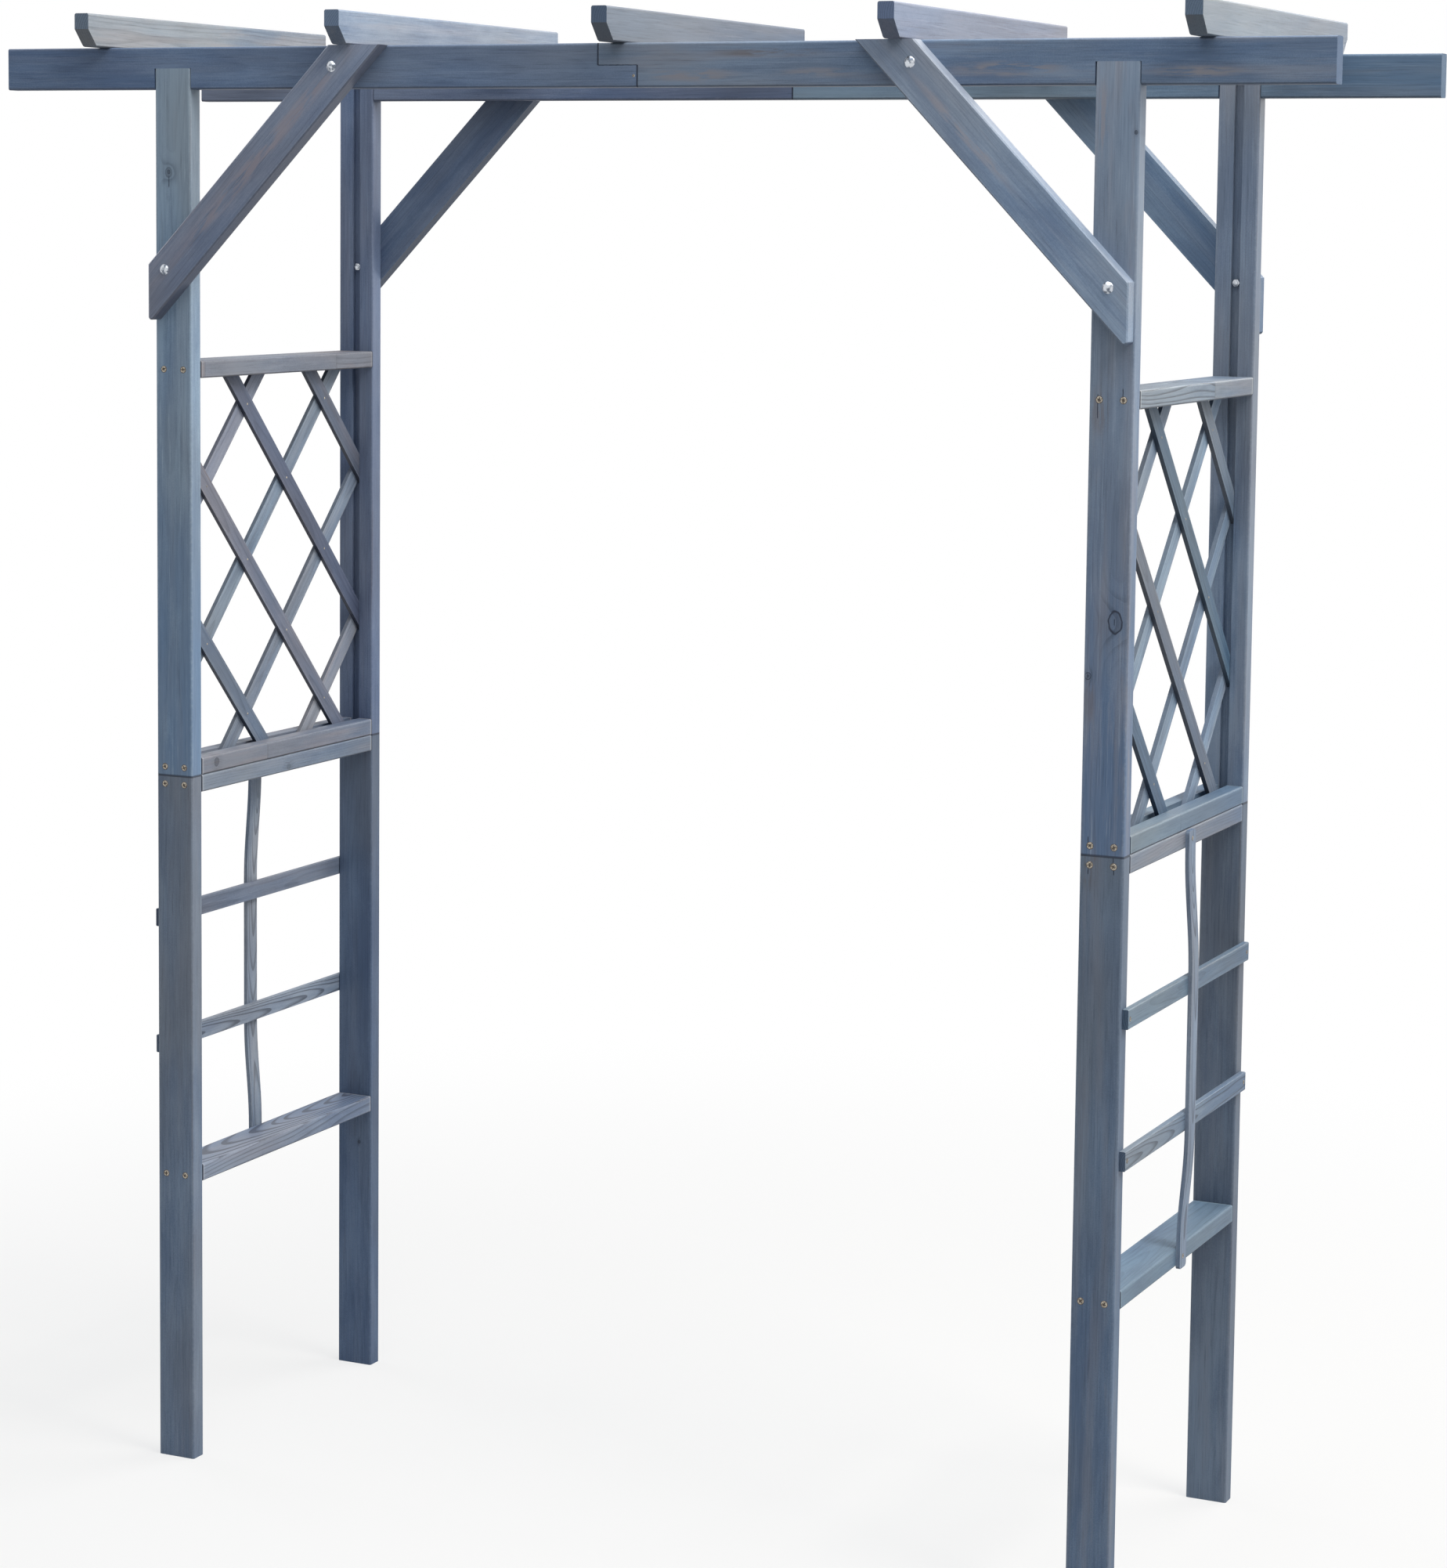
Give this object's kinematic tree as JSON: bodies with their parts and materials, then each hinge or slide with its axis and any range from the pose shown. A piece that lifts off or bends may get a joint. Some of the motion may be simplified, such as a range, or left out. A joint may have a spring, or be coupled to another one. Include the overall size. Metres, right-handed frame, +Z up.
{
  "type": "garden trellis arch",
  "caption": "Free-standing timber garden arch: lattice side frames joined by lapped beams with cross rafters and diagonal braces, open to walk through",
  "frame": {"origin": "on the ground, in the middle of the four post feet", "axes": "+Z up, +X across the walkway from the left side frame to the right one, +Y through the walkway from its front to its back"},
  "size_m": [2.13, 0.695, 2.261],
  "materials": {
    "post_timber": "planed softwood under a satin blue-grey glaze",
    "beam_timber": "planed softwood under a satin blue-grey glaze",
    "rafter_timber": "planed softwood under a satin blue-grey glaze",
    "brace_timber": "planed softwood under a satin blue-grey glaze",
    "rail_timber": "planed softwood under a satin blue-grey glaze",
    "lath_timber": "planed softwood under a satin blue-grey glaze",
    "slat_timber": "planed softwood under a satin blue-grey glaze",
    "zinc_steel": "bright zinc plate"
  },
  "bodies": {
    "root": {"beam_back_left": "beam_timber", "beam_back_right": "beam_timber", "beam_carriage_bolts": "zinc_steel", "beam_front_left": "beam_timber", "beam_front_right": "beam_timber", "bent_upright_left": "slat_timber", "bent_upright_right": "slat_timber", "bolt_nuts": "zinc_steel", "brace_back_left": "brace_timber", "brace_back_right": "brace_timber", "brace_front_left": "brace_timber", "brace_front_right": "brace_timber", "falling_lath_left_1": "lath_timber", "falling_lath_left_2": "lath_timber", "falling_lath_left_3": "lath_timber", "falling_lath_left_4": "lath_timber", "falling_lath_right_1": "lath_timber", "falling_lath_right_2": "lath_timber", "falling_lath_right_3": "lath_timber", "falling_lath_right_4": "lath_timber", "ladder_top_rail_left": "rail_timber", "ladder_top_rail_right": "rail_timber", "low_rail_left": "rail_timber", "low_rail_right": "rail_timber", "lower_post_left_back": "post_timber", "lower_post_left_front": "post_timber", "lower_post_right_back": "post_timber", "lower_post_right_front": "post_timber", "lower_slat_left": "slat_timber", "lower_slat_right": "slat_timber", "panel_bottom_rail_left": "rail_timber", "panel_bottom_rail_right": "rail_timber", "panel_top_rail_left": "rail_timber", "panel_top_rail_right": "rail_timber", "post_carriage_bolts": "zinc_steel", "rafter_1": "rafter_timber", "rafter_2": "rafter_timber", "rafter_3": "rafter_timber", "rafter_4": "rafter_timber", "rafter_5": "rafter_timber", "rising_lath_left_1": "lath_timber", "rising_lath_left_2": "lath_timber", "rising_lath_left_3": "lath_timber", "rising_lath_left_4": "lath_timber", "rising_lath_right_1": "lath_timber", "rising_lath_right_2": "lath_timber", "rising_lath_right_3": "lath_timber", "rising_lath_right_4": "lath_timber", "upper_post_left_back": "post_timber", "upper_post_left_front": "post_timber", "upper_post_right_back": "post_timber", "upper_post_right_front": "post_timber", "upper_slat_left": "slat_timber", "upper_slat_right": "slat_timber"}
  },
  "joints": []
}
